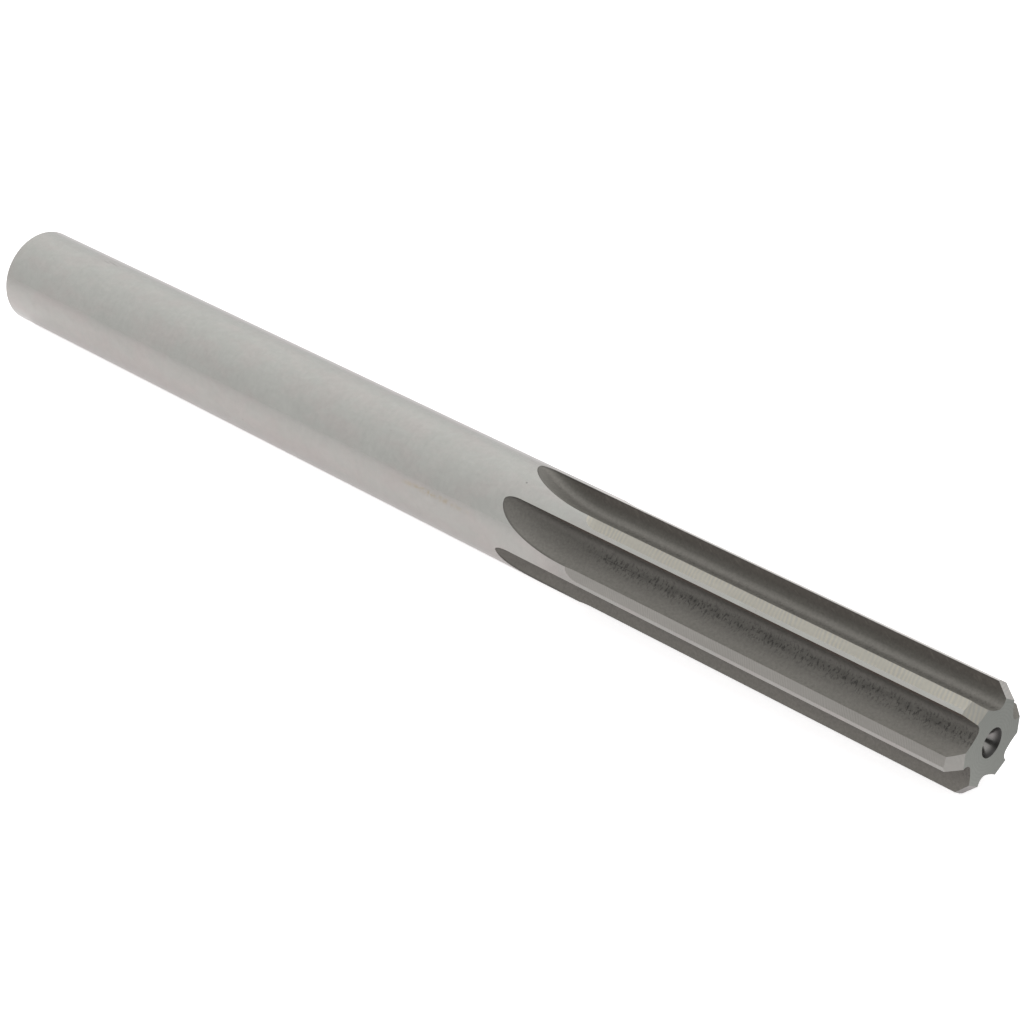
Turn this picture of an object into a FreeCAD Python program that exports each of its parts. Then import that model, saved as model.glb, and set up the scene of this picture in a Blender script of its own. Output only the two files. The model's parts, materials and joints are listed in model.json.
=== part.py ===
"""Straight-shank machine reamer, ground from one bar of tool steel. Millimetres, +Z up.

The tool's axis lies along X. The origin is the centre of the cutting end's face, +X points out
of that end, and the shank runs back along -X. The reamer is right-hand cutting: seen from the
cutting end it turns anticlockwise, and each tooth cuts with its leading, radial face.
"""

import FreeCAD
import Part
import math
import os

from FreeCAD import Vector

# --- Bar: shank and teeth are ground between centres to one nominal diameter -------------------
DIAMETER = 12.0
OVERALL_LENGTH = 147.0
SHANK_CHAMFER = 0.25            # edge break round the shank's end, at 45 degrees
CUTTING_OVERSIZE = 0.012        # on the diameter at the lead, so that the tool cuts an H7 hole
TAPER_RUN_ON = 1.2              # the teeth's back taper ends this far behind the flutes' tips

# --- Centre holes: the same 60 degree centre in both ends, for grinding between centres --------
CENTRE_MOUTH_DIAMETER = 3.3
CENTRE_PILOT_DIAMETER = 1.6
CENTRE_PILOT_DEPTH = 3.6        # from the end's face to where the drill's point begins
CENTRE_CONE_ANGLE = 60.0
CENTRE_DRILL_POINT_ANGLE = 118.0

# --- Teeth -------------------------------------------------------------------------------------
TOOTH_COUNT = 6
FIRST_EDGE_ANGLE = 8.9          # degrees about +X, from +Y towards +Z
LEAD_LENGTH = 1.3               # 45 degree lead: its length along the axis
LEAD_ANGLE = 45.0               # between the lead and the axis
LEAD_RELIEF_ANGLE = 8.5         # each lead is a flat that falls away behind its cutting edge

# --- Flute: radial rake face, root arc, then one hollow arc out to the next tooth's heel -------
FLUTE_LENGTH = 50.9             # full depth, from the cutting end to where the run-out begins
FLOOR_HEIGHT = 3.56             # lowest point of the flute, above the tool's axis
FLOOR_OFFSET = 1.2              # of that lowest point, out from the rake face
ROOT_RADIUS = 0.85              # where the rake face turns into the floor
BACK_RADIUS = 6.0               # of the hollow back
FLUTE_WHEEL_RADIUS = 22.0       # grinding wheel, whose rim leaves the flute's run-out

# --- Land: a cylindrical margin at the cutting edge, and a flat relief behind it ---------------
MARGIN_WIDTH = 0.47
RELIEF_ANGLE = 11.0             # between the flat and the tangent at the margin's back edge
RELIEF_SETBACK = 2.3            # the relief stops short of the flute's full-depth end by this
RELIEF_WHEEL_RADIUS = 15.4      # grinding wheel, whose rim leaves the relief's curved end

# --- Cutter over-travel, which leaves no mark on the tool --------------------------------------
OVERTRAVEL = 1.0

RADIUS = DIAMETER / 2
CUTTING_RADIUS = RADIUS + CUTTING_OVERSIZE / 2
LEAD_INNER_RADIUS = CUTTING_RADIUS - LEAD_LENGTH * math.tan(math.radians(LEAD_ANGLE))
FLUTE_DEPTH = RADIUS - FLOOR_HEIGHT
RUN_OUT_LENGTH = math.sqrt(FLUTE_DEPTH * (2 * FLUTE_WHEEL_RADIUS - FLUTE_DEPTH))
TAPER_LENGTH = FLUTE_LENGTH + RUN_OUT_LENGTH + TAPER_RUN_ON
RELIEF_LENGTH = FLUTE_LENGTH - RELIEF_SETBACK
SECTOR_ANGLE = 360.0 / TOOTH_COUNT
MARGIN_ANGLE = math.degrees(MARGIN_WIDTH / RADIUS)
HALF_PITCH = RADIUS * math.sin(math.radians(SECTOR_ANGLE / 2))

ORIGIN = Vector(0, 0, 0)
X_AXIS = Vector(1, 0, 0)


def polygon_wire(points):
    """Closed wire through the points, in order."""
    return Part.makePolygon(points + [points[0]])


def turned(profile):
    """Solid of revolution about the tool's axis from (x, radius) points."""
    face = Part.Face(polygon_wire([Vector(x, radius, 0) for x, radius in profile]))
    return face.revolve(ORIGIN, X_AXIS, 360)


def about_axis(shape, angle):
    """The shape turned about the tool's axis, in degrees from +Y towards +Z."""
    return shape.rotated(ORIGIN, X_AXIS, angle)


def bar():
    """Ground bar: the lead's cone, the teeth's slight back taper, the shank and its edge break."""
    return turned([
        (0, 0),
        (0, LEAD_INNER_RADIUS),
        (-LEAD_LENGTH, CUTTING_RADIUS),
        (-TAPER_LENGTH, RADIUS),
        (SHANK_CHAMFER - OVERALL_LENGTH, RADIUS),
        (-OVERALL_LENGTH, RADIUS - SHANK_CHAMFER),
        (-OVERALL_LENGTH, 0),
    ])


def centre_hole(face_x, inward):
    """Centre drill's form: a 60 degree cone, a pilot bore and the drill's point.

    face_x is the end face's place on the axis, and inward is -1 or 1 along X.
    """
    mouth = CENTRE_MOUTH_DIAMETER / 2
    pilot = CENTRE_PILOT_DIAMETER / 2
    cone_slope = math.tan(math.radians(CENTRE_CONE_ANGLE / 2))
    cone_depth = (mouth - pilot) / cone_slope
    point_depth = pilot / math.tan(math.radians(CENTRE_DRILL_POINT_ANGLE / 2))
    depths_and_radii = [
        (-OVERTRAVEL, 0),
        (-OVERTRAVEL, mouth + OVERTRAVEL * cone_slope),
        (cone_depth, pilot),
        (CENTRE_PILOT_DEPTH, pilot),
        (CENTRE_PILOT_DEPTH + point_depth, 0),
    ]
    return turned([(face_x + inward * depth, radius) for depth, radius in depths_and_radii])


def flute_section(x):
    """Face of one flute's section at x, with the tooth's rake face on the plane z = 0.

    y runs outward along the rake face and z across the flute. The root arc is tangent to the
    rake face and to the hollow back, which runs past the bar's surface.
    """
    back_centre_y = FLOOR_HEIGHT + BACK_RADIUS
    reach = BACK_RADIUS - ROOT_RADIUS
    root_centre_y = back_centre_y - math.sqrt(reach ** 2 - (FLOOR_OFFSET - ROOT_RADIUS) ** 2)
    tangent_angle = math.atan2(ROOT_RADIUS - FLOOR_OFFSET, root_centre_y - back_centre_y)

    # The back leaves the bar where its circle meets the circle of the over-travel radius.
    outer = RADIUS + OVERTRAVEL
    centre_distance = math.hypot(back_centre_y, FLOOR_OFFSET)
    cosine = (outer ** 2 - BACK_RADIUS ** 2 - centre_distance ** 2) / (
        2 * BACK_RADIUS * centre_distance
    )
    exit_angle = math.atan2(FLOOR_OFFSET, back_centre_y) + math.acos(cosine)

    def on_root(angle):
        return Vector(
            x,
            root_centre_y + ROOT_RADIUS * math.cos(angle),
            ROOT_RADIUS + ROOT_RADIUS * math.sin(angle),
        )

    def on_back(angle):
        return Vector(
            x,
            back_centre_y + BACK_RADIUS * math.cos(angle),
            FLOOR_OFFSET + BACK_RADIUS * math.sin(angle),
        )

    root_start = -math.pi / 2
    root_end = tangent_angle if tangent_angle < 0 else tangent_angle - 2 * math.pi
    rake_foot = on_root(root_start)
    tangent_point = on_root(root_end)
    back_exit = on_back(exit_angle)
    rake_top = Vector(x, outer, 0)
    corner = Vector(x, outer, back_exit.z)
    back_middle_angle = (tangent_angle % (2 * math.pi) + exit_angle) / 2
    edges = [
        Part.LineSegment(rake_top, rake_foot),
        Part.Arc(rake_foot, on_root((root_start + root_end) / 2), tangent_point),
        Part.Arc(tangent_point, on_back(back_middle_angle), back_exit),
        Part.LineSegment(back_exit, corner),
        Part.LineSegment(corner, rake_top),
    ]
    return Part.Face(Part.Wire([edge.toShape() for edge in edges]))


def wheel_cut(section, start_x, depth, wheel_centre, wheel_axis, wheel_radius):
    """What a grinding wheel of this section removes as it travels in from the cutting end.

    The wheel travels straight up to start_x, and its rim then leaves the bar on an arc.
    """
    straight = section.extrude(X_AXIS * (OVERTRAVEL - start_x))
    lift_angle = math.degrees(math.acos(1 - (depth + OVERTRAVEL) / wheel_radius))
    run_out = section.revolve(wheel_centre, wheel_axis, lift_angle)
    return straight.fuse(run_out)


def flute_cut():
    """One flute with its run-out, with its tooth's rake face on the plane z = 0."""
    wheel_centre = Vector(-FLUTE_LENGTH, FLOOR_HEIGHT + FLUTE_WHEEL_RADIUS, 0)
    return wheel_cut(
        flute_section(-FLUTE_LENGTH),
        -FLUTE_LENGTH,
        FLUTE_DEPTH,
        wheel_centre,
        Vector(0, 0, -1),
        FLUTE_WHEEL_RADIUS,
    )


def relief_cut():
    """Flat relief behind the margin of the tooth whose rake face is on the plane z = 0."""
    tilt = math.radians(RELIEF_ANGLE)
    along_flat = Vector(0, -math.sin(tilt), -math.cos(tilt))
    off_flat = Vector(0, math.cos(tilt), -math.sin(tilt))
    outward = Vector(0, 1, 0)
    margin_edge = Vector(-RELIEF_LENGTH, RADIUS, 0)
    past_heel = margin_edge + along_flat * HALF_PITCH
    section = Part.Face(polygon_wire([
        margin_edge,
        past_heel,
        past_heel + outward * (2 * OVERTRAVEL),
        margin_edge + outward * OVERTRAVEL,
    ]))
    cut = wheel_cut(
        section,
        -RELIEF_LENGTH,
        0,
        margin_edge + off_flat * RELIEF_WHEEL_RADIUS,
        along_flat,
        RELIEF_WHEEL_RADIUS,
    )
    return about_axis(cut, -MARGIN_ANGLE)


def lead_cut():
    """Flat lead of the tooth whose rake face is on the plane z = 0, relieved behind its edge."""
    lead = math.radians(LEAD_ANGLE)
    relief = math.radians(LEAD_RELIEF_ANGLE)
    along_lead = Vector(-math.cos(lead), math.sin(lead), 0)
    off_lead = Vector(math.sin(lead), math.cos(lead), 0)
    behind = Vector(0, 0, -1) * math.cos(relief) - off_lead * math.sin(relief)
    near = Vector(0, LEAD_INNER_RADIUS, 0) - along_lead * OVERTRAVEL
    far = Vector(-LEAD_LENGTH, CUTTING_RADIUS, 0) + along_lead * OVERTRAVEL
    outer_corner = Vector(near.x, far.y, 0)
    section = Part.Face(polygon_wire([near, far, outer_corner]))
    return section.extrude(behind * HALF_PITCH)


def reamer():
    """The whole tool, with every tooth alike and evenly spaced."""
    body = bar()
    body = body.cut(centre_hole(0, -1))
    body = body.cut(centre_hole(-OVERALL_LENGTH, 1))
    for tooth in range(TOOTH_COUNT):
        angle = FIRST_EDGE_ANGLE + tooth * SECTOR_ANGLE
        for cutter in (flute_cut(), relief_cut(), lead_cut()):
            body = body.cut(about_axis(cutter, angle))
    return body.removeSplitter()


def main():
    """Writes the reamer's STEP file and prints its measures."""
    os.makedirs("parts", exist_ok=True)
    solid = reamer()
    solid.exportStep("parts/reamer.step")
    box = solid.BoundBox
    print(
        f"reamer: valid {solid.isValid()}, solids {len(solid.Solids)}, faces {len(solid.Faces)}, "
        f"volume {solid.Volume:.1f} mm3, x {box.XMin:.3f} to {box.XMax:.3f}"
    )


main()
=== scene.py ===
"""Looks of a straight-shank machine reamer: its ground skin, its finishes, the stage and the camera.

Lengths are in millimetres until a mesh is made. The tool's axis is the X axis, the cutting end's
face lies at x = 0, and a station is the distance back from that face along -X. Angles turn about
+X from +Y towards +Z. In a tooth's own frame, its rake face lies on the plane z = 0 and y runs
outward along it.
"""

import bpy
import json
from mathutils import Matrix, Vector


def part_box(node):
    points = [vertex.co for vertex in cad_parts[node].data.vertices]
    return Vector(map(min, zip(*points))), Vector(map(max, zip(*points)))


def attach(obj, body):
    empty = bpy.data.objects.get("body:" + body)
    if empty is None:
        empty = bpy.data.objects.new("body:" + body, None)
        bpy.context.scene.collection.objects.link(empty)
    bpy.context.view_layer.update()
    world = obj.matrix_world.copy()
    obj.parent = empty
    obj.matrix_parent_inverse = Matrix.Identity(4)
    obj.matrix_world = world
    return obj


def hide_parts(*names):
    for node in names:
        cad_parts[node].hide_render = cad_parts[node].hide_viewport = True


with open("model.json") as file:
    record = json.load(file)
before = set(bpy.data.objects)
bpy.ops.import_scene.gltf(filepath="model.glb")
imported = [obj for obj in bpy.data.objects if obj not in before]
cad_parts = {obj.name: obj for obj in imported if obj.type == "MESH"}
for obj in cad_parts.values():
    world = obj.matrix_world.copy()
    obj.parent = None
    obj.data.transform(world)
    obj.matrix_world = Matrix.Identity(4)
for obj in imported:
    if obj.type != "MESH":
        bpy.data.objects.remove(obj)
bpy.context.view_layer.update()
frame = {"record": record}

import json
import logging
import math
from dataclasses import dataclass
from enum import Enum

import bpy
import numpy as np
from mathutils import Vector

log = logging.getLogger("reamer")

MM = 0.001
MICROMETRE = 1e-6
WELD_GRID = 1e-5        # points of neighbouring patches that agree to this are one point
OUTLINE_STEPS = 20000   # how finely a flute's outline is tabled
RAMP_SLOTS = 8          # equal slots of the ramp that gives each tooth its own level


# --- Grid surfaces -----------------------------------------------------------------------------


class Surface(Enum):
    """The reamer's named surfaces. Shading is smooth within one and creased between two."""

    FLUTE = 0
    GROUND = 1
    RELIEF = 2
    LEAD = 3
    END_FACE = 4
    CONE = 5
    BORE = 6
    DRILL_POINT = 7
    EDGE_BREAK = 8


@dataclass(frozen=True)
class Patch:
    """One grid surface of the skin.

    Rows run along the skin, from the bottom of the cutting end's centre hole to the bottom of
    the shank's. Columns run round the axis with rising angle, so that every quad faces out.
    """

    surface: Surface
    points: np.ndarray      # rows x columns x 3, in millimetres
    across: np.ndarray      # rows x columns, distance across the surface in millimetres
    tooth: int = 0

    def quads(self) -> np.ndarray:
        """Corner indices of every quad of the grid, in the patch's own numbering."""
        rows, columns = self.points.shape[:2]
        index = np.arange(rows * columns).reshape(rows, columns)
        corners = (index[:-1, :-1], index[1:, :-1], index[1:, 1:], index[:-1, 1:])
        return np.stack(corners, axis=-1).reshape(-1, 4)


def mix(start: np.ndarray, end: np.ndarray, share: np.ndarray) -> np.ndarray:
    """Straight blend: start plus share of the way to end."""
    return start + (end - start) * share


def turn(y: np.ndarray, z: np.ndarray, angle: float) -> tuple[np.ndarray, np.ndarray]:
    """Turns (y, z) about the axis by an angle in radians: y cos - z sin, y sin + z cos."""
    return (
        y * math.cos(angle) - z * math.sin(angle),
        y * math.sin(angle) + z * math.cos(angle),
    )


def line_to_circle(
    start: np.ndarray, direction: np.ndarray, centre: np.ndarray, radius: float
) -> np.ndarray:
    """Distance along a straight line to where it first meets a circle.

    With m the vector from the centre to the start, the distance w solves
    w squared + 2 w (m . direction) + m . m - radius squared = 0, and the lesser root is taken.

    Args:
        start: Points the lines start from, ... x 2.
        direction: Unit direction of the lines, 2.
        centre: The circle's centre, 2.
        radius: The circle's radius.

    Returns:
        The distances, one for each start.
    """
    offset = start - centre
    half = offset @ direction
    inside = half**2 - (offset**2).sum(axis=-1) + radius**2
    return -half - np.sqrt(np.maximum(inside, 0.0))


# --- Sizes of the reamer -----------------------------------------------------------------------


@dataclass(frozen=True)
class Bar:
    """The ground bar that every cut is made in."""

    radius: float
    length: float
    edge_break: float = 0.25


@dataclass(frozen=True)
class CentreHole:
    """A 60 degree centre hole: cone, pilot bore and the drill's point, turned about the axis."""

    mouth_radius: float = 1.65
    pilot_radius: float = 0.8
    pilot_depth: float = 3.6
    cone_half_angle: float = math.radians(30)
    point_half_angle: float = math.radians(59)
    rows: int = 8

    def walls(self) -> list[tuple[Surface, np.ndarray]]:
        """Each wall's (depth, radius) points, from the drill's point out to the mouth."""
        apex = (self.pilot_depth + self.pilot_radius / math.tan(self.point_half_angle), 0.0)
        floor = (self.pilot_depth, self.pilot_radius)
        neck = (
            (self.mouth_radius - self.pilot_radius) / math.tan(self.cone_half_angle),
            self.pilot_radius,
        )
        mouth = (0.0, self.mouth_radius)
        share = np.linspace(0.0, 1.0, self.rows)[:, None]
        return [
            (Surface.DRILL_POINT, mix(np.array(apex), np.array(floor), share)),
            (Surface.BORE, mix(np.array(floor), np.array(neck), share)),
            (Surface.CONE, mix(np.array(neck), np.array(mouth), share)),
        ]


@dataclass(frozen=True)
class Flute:
    """One flute: a radial rake face, a root arc and a hollow back, with the wheel's run-out.

    A point of the section is named by its distance along it from the cutting edge.
    """

    bar: Bar
    full_length: float = 50.9
    floor_height: float = 3.56
    floor_offset: float = 1.2
    root_radius: float = 0.85
    back_radius: float = 6.0
    wheel_radius: float = 22.0

    @property
    def back_centre(self) -> np.ndarray:
        """Centre of the hollow back's arc, in the tooth's frame."""
        return np.array([self.floor_height + self.back_radius, self.floor_offset])

    @property
    def root_centre(self) -> np.ndarray:
        """Centre of the root arc, which touches the rake face and the hollow back inside it."""
        reach = self.back_radius - self.root_radius
        across = self.floor_offset - self.root_radius
        height = self.back_centre[0] - math.sqrt(reach**2 - across**2)
        return np.array([height, self.root_radius])

    @property
    def tangent_angle(self) -> float:
        """Angle at both arcs' centres of the point where the root passes into the back."""
        y, z = self.root_centre - self.back_centre
        return math.atan2(z, y) % (2 * math.pi)

    @property
    def rake_end(self) -> float:
        """Distance along the section at which the rake face passes into the root."""
        return self.bar.radius - self.root_centre[0]

    @property
    def root_end(self) -> float:
        """Distance along the section at which the root passes into the hollow back."""
        return self.rake_end + self.root_radius * (1.5 * math.pi - self.tangent_angle)

    def section(self, along: np.ndarray) -> tuple[np.ndarray, np.ndarray]:
        """Section points (y, z): straight down the rake face, then round each arc by
        angle = start angle - distance / radius."""
        root = 1.5 * math.pi - (along - self.rake_end) / self.root_radius
        back = self.tangent_angle - (along - self.root_end) / self.back_radius
        on_rake = along < self.rake_end
        on_root = along < self.root_end
        y = np.where(
            on_root,
            self.root_centre[0] + self.root_radius * np.cos(root),
            self.back_centre[0] + self.back_radius * np.cos(back),
        )
        z = np.where(
            on_root,
            self.root_centre[1] + self.root_radius * np.sin(root),
            self.back_centre[1] + self.back_radius * np.sin(back),
        )
        return np.where(on_rake, self.bar.radius - along, y), np.where(on_rake, 0.0, z)

    def along_back(self, point: np.ndarray) -> np.ndarray:
        """Distance along the section of a point of the hollow back: the arc's angle times its
        radius, past the root's end."""
        y, z = np.moveaxis(point - self.back_centre, -1, 0)
        angle = np.arctan2(z, y) % (2 * math.pi)
        return self.root_end + (self.tangent_angle - angle) * self.back_radius

    def lifted(self, y: np.ndarray, station: np.ndarray) -> np.ndarray:
        """Height y after the wheel has lifted it on its arc: with c the wheel's centre height
        and t the distance past full depth, c - sqrt((c - y) squared - t squared)."""
        centre = self.floor_height + self.wheel_radius
        past = np.maximum(station - self.full_length, 0.0)
        return centre - np.sqrt((centre - y) ** 2 - past**2)

    def exit_station(self, along: np.ndarray) -> np.ndarray:
        """Station at which a point of the section leaves the bar: the lifted height equals
        sqrt(radius squared - z squared) there."""
        y, z = self.section(along)
        centre = self.floor_height + self.wheel_radius
        surface = np.sqrt(self.bar.radius**2 - z**2)
        past = np.sqrt(np.maximum((centre - y) ** 2 - (centre - surface) ** 2, 0.0))
        return self.full_length + past

    @property
    def heel_end(self) -> float:
        """Distance along the section at which the hollow back meets the bar's surface."""
        distance = math.hypot(*self.back_centre)
        cosine = (distance**2 + self.back_radius**2 - self.bar.radius**2) / (
            2 * distance * self.back_radius
        )
        inward = math.atan2(-self.back_centre[1], -self.back_centre[0]) % (2 * math.pi)
        exit_angle = inward - math.acos(cosine)
        return self.root_end + (self.tangent_angle - exit_angle) * self.back_radius

    def run_out(self, rows: int) -> tuple[np.ndarray, np.ndarray, np.ndarray]:
        """Stations of the run-out, with the section's two ends at each.

        The outline is the curve of exit stations over the section, which rises from both ends
        to the flute's tip. It is tabled finely and read back on each side of the tip. Stations
        crowd towards the tip by a sine, so that the outline's round end is well drawn.

        Args:
            rows: How many stations to give, from full depth to the tip.

        Returns:
            Stations, and the distances along the section at the rake side and the heel side.
        """
        along = np.linspace(0.0, self.heel_end, OUTLINE_STEPS + 1)
        leaving = self.exit_station(along)
        tip = int(np.argmax(leaving))
        share = np.sin(np.linspace(0.0, math.pi / 2, rows))
        stations = mix(leaving[0], leaving[tip], share)
        rake_side = np.interp(stations, leaving[: tip + 1], along[: tip + 1])
        heel_side = np.interp(stations, leaving[tip:][::-1], along[tip:][::-1])
        return stations, rake_side, heel_side


@dataclass(frozen=True)
class Land:
    """A land: the cylindrical margin at the cutting edge and the flat relief behind it."""

    bar: Bar
    flute: Flute
    margin_width: float = 0.47
    relief_angle: float = math.radians(11)
    relief_setback: float = 2.3
    wheel_radius: float = 15.4

    @property
    def margin_angle(self) -> float:
        """Angle that the margin takes up round the axis."""
        return self.margin_width / self.bar.radius

    @property
    def margin_edge(self) -> np.ndarray:
        """Back edge of the margin, in the tooth's frame."""
        return self.bar.radius * np.array(
            [math.cos(self.margin_angle), -math.sin(self.margin_angle)]
        )

    @property
    def along_flat(self) -> np.ndarray:
        """Unit direction of the flat, from the margin back to the heel."""
        tilt = self.relief_angle + self.margin_angle
        return np.array([-math.sin(tilt), -math.cos(tilt)])

    @property
    def off_flat(self) -> np.ndarray:
        """Unit direction out of the flat."""
        tilt = self.relief_angle + self.margin_angle
        return np.array([math.cos(tilt), -math.sin(tilt)])

    @property
    def full_length(self) -> float:
        """Station at which the relief's wheel begins to lift."""
        return self.flute.full_length - self.relief_setback

    def lift(self, station: np.ndarray) -> np.ndarray:
        """How far the wheel has lifted the flat: radius - sqrt(radius squared - t squared)."""
        past = np.maximum(station - self.full_length, 0.0)
        return self.wheel_radius - np.sqrt(self.wheel_radius**2 - past**2)

    def flat_start(self, station: np.ndarray) -> np.ndarray:
        """Where the flat's line stands over the margin's back edge at each station."""
        return self.margin_edge + self.lift(station)[..., None] * self.off_flat


@dataclass(frozen=True)
class Lead:
    """The 45 degree lead: on each tooth a flat that falls away behind its cutting edge.

    In a section the flat is a line. It starts on the rake face at the lead's height there and
    falls by tan(relief) / cos(lead angle) for each unit behind it.
    """

    bar: Bar
    length: float = 1.3
    angle: float = math.radians(45)
    relief: float = math.radians(8.5)

    @property
    def start_radius(self) -> float:
        """Radius of the cutting edge at the end face."""
        return self.bar.radius - self.length * math.tan(self.angle)

    @property
    def fall(self) -> float:
        """Height that the flat loses for each unit behind the cutting edge."""
        return math.tan(self.relief) / math.cos(self.angle)

    def station(self, y: np.ndarray, z: np.ndarray) -> np.ndarray:
        """Station at which the flat passes over the point (y, z) of the land."""
        return (y - self.start_radius - self.fall * z) / math.tan(self.angle)

    def edge(self, station: np.ndarray) -> np.ndarray:
        """Point of the cutting edge at each station."""
        height = self.start_radius + station * math.tan(self.angle)
        return np.stack([height, np.zeros_like(height)], axis=-1)

    @property
    def backward(self) -> np.ndarray:
        """Unit direction of the flat's line in a section, away from the cutting edge."""
        return np.array([-self.fall, -1.0]) / math.hypot(self.fall, 1.0)


@dataclass(frozen=True)
class GridCounts:
    """How finely the skin is divided, in quads."""

    rake: int = 6
    root: int = 12
    back: int = 20
    relief: int = 6
    margin: int = 16
    lead_rows: int = 6
    straight_rows: int = 48
    relief_end_rows: int = 14
    gap_rows: int = 3
    run_out_rows: int = 44
    shank_rows: int = 60
    face_rows: int = 12
    break_rows: int = 2


@dataclass(frozen=True)
class Tooth:
    """One tooth, the flute before it and the strip of shank behind it, in the tooth's frame.

    The flute behind the tooth is the same flute turned back by one pitch, and its hollow back
    ends at this tooth's heel.
    """

    bar: Bar
    flute: Flute
    land: Land
    lead: Lead
    pitch: float
    counts: GridCounts

    def heel(self, start: np.ndarray, direction: np.ndarray) -> np.ndarray:
        """Point where a line across the land runs out into the flute behind the tooth."""
        centre = np.array(turn(*self.flute.back_centre, -self.pitch))
        distance = line_to_circle(start, direction, centre, self.flute.back_radius)
        return start + distance[..., None] * direction

    def heel_distance(self, heel: np.ndarray) -> np.ndarray:
        """Distance along the section of the flute behind at which a heel point lies."""
        turned = np.stack(turn(heel[..., 0], heel[..., 1], self.pitch), axis=-1)
        return self.flute.along_back(turned)

    @property
    def full_heel(self) -> np.ndarray:
        """Heel where the land is the whole cylinder: the flute's section meets the bar."""
        y, z = self.flute.section(np.array(self.flute.heel_end))
        return np.array(turn(y, z, -self.pitch))

    @property
    def relief_end(self) -> float:
        """Station at which the lifted relief leaves the land, at its heel."""
        lift = float((self.full_heel - self.land.margin_edge) @ self.land.off_flat)
        wheel = self.land.wheel_radius
        return self.land.full_length + math.sqrt(wheel**2 - (wheel - lift) ** 2)

    def relief_rows(self) -> tuple[np.ndarray, np.ndarray, np.ndarray]:
        """Stations of the relief's curved end, and the flat's extent at each.

        The stations crowd towards the end by a sine, because there the outline closes fast.

        Returns:
            Stations, and distances along the flat to the bar's surface and to the heel.
        """
        share = np.linspace(0.0, 1.0, self.counts.relief_end_rows + 1)
        stations = mix(self.land.full_length, self.relief_end, np.sin(0.5 * math.pi * share))
        start = self.land.flat_start(stations)
        to_bar = line_to_circle(start, self.land.along_flat, np.zeros(2), self.bar.radius)
        to_heel = (self.heel(start, self.land.along_flat) - start) @ self.land.along_flat
        to_bar[-1] = to_heel[-1] = (self.full_heel - start[-1]) @ self.land.along_flat
        return stations, to_bar, to_heel

    def lead_rows(self) -> tuple[np.ndarray, np.ndarray]:
        """Cutting edge and heel edge of the lead's flat, as (x, y, z) from the end face back."""
        share = np.linspace(0.0, 1.0, self.counts.lead_rows + 1)
        flat_heel = self.heel(self.land.margin_edge[None], self.land.along_flat)[0]
        edge_station = share * self.lead.length
        heel_station = share * self.lead.station(*flat_heel)
        edge = self.lead.edge(edge_station)
        heel = self.heel(self.lead.edge(heel_station), self.lead.backward)
        return (
            np.column_stack([-edge_station, edge]),
            np.column_stack([-heel_station, heel]),
        )

    def flute_patch(self) -> Patch:
        """The flute, from its cutting edge across to the next tooth's heel.

        A row's distances along the section run evenly between its two ends, in the shares that
        put the arcs' joints on columns where the flute is prismatic. The rows are those of the
        lead, the straight length, the relief's curved end and the flute's own run-out.
        """
        counts, flute = self.counts, self.flute
        edge, heel = self.lead_rows()
        relief_stations, _, heel_on_flat = self.relief_rows()
        relief_heel = self.land.flat_start(relief_stations) + (
            heel_on_flat[:, None] * self.land.along_flat
        )
        gap = np.linspace(self.relief_end, flute.full_length, counts.gap_rows + 1)
        run_out, run_out_rake, run_out_heel = flute.run_out(counts.run_out_rows + 1)
        straight = np.linspace(0.0, 1.0, counts.straight_rows + 1)
        end = self.land.full_length
        straight_heel = np.full_like(straight, self.heel_distance(heel[-1, 1:]))
        rows = [
            (-edge[:, 0], -heel[:, 0], self.bar.radius - edge[:, 1],
             self.heel_distance(heel[:, 1:])),
            (mix(-edge[-1, 0], end, straight), mix(-heel[-1, 0], end, straight),
             np.zeros_like(straight), straight_heel),
            (relief_stations, relief_stations, np.zeros_like(relief_stations),
             self.heel_distance(relief_heel)),
            (gap, gap, np.zeros_like(gap), np.full_like(gap, flute.heel_end)),
            (run_out, run_out, run_out_rake, run_out_heel),
        ]
        columns = [np.concatenate([rows[0][i]] + [row[i][1:] for row in rows[1:]])
                   for i in range(4)]
        edge_station, heel_station, rake_side, heel_side = (c[:, None] for c in columns)
        body_heel = straight_heel[0]
        along = np.concatenate([
            np.linspace(0.0, flute.rake_end, counts.rake + 1)[:-1],
            np.linspace(flute.rake_end, flute.root_end, counts.root + 1)[:-1],
            np.linspace(flute.root_end, body_heel, counts.back + 1),
        ])
        share = along / body_heel
        distance = mix(rake_side, heel_side, share)
        station = mix(edge_station, heel_station, share)
        y, z = flute.section(distance)
        y = flute.lifted(y, station)
        # The run-out's rim is put back on the bar exactly, so that it welds to the shank.
        rim = np.zeros_like(y, dtype=bool)
        rim[-len(run_out):, [0, -1]] = True
        rim[-1] = True
        scale = np.where(rim, self.bar.radius / np.hypot(y, z), 1.0)
        points = np.stack([-station, y * scale, z * scale], axis=-1)
        return Patch(Surface.FLUTE, points, distance)

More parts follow.
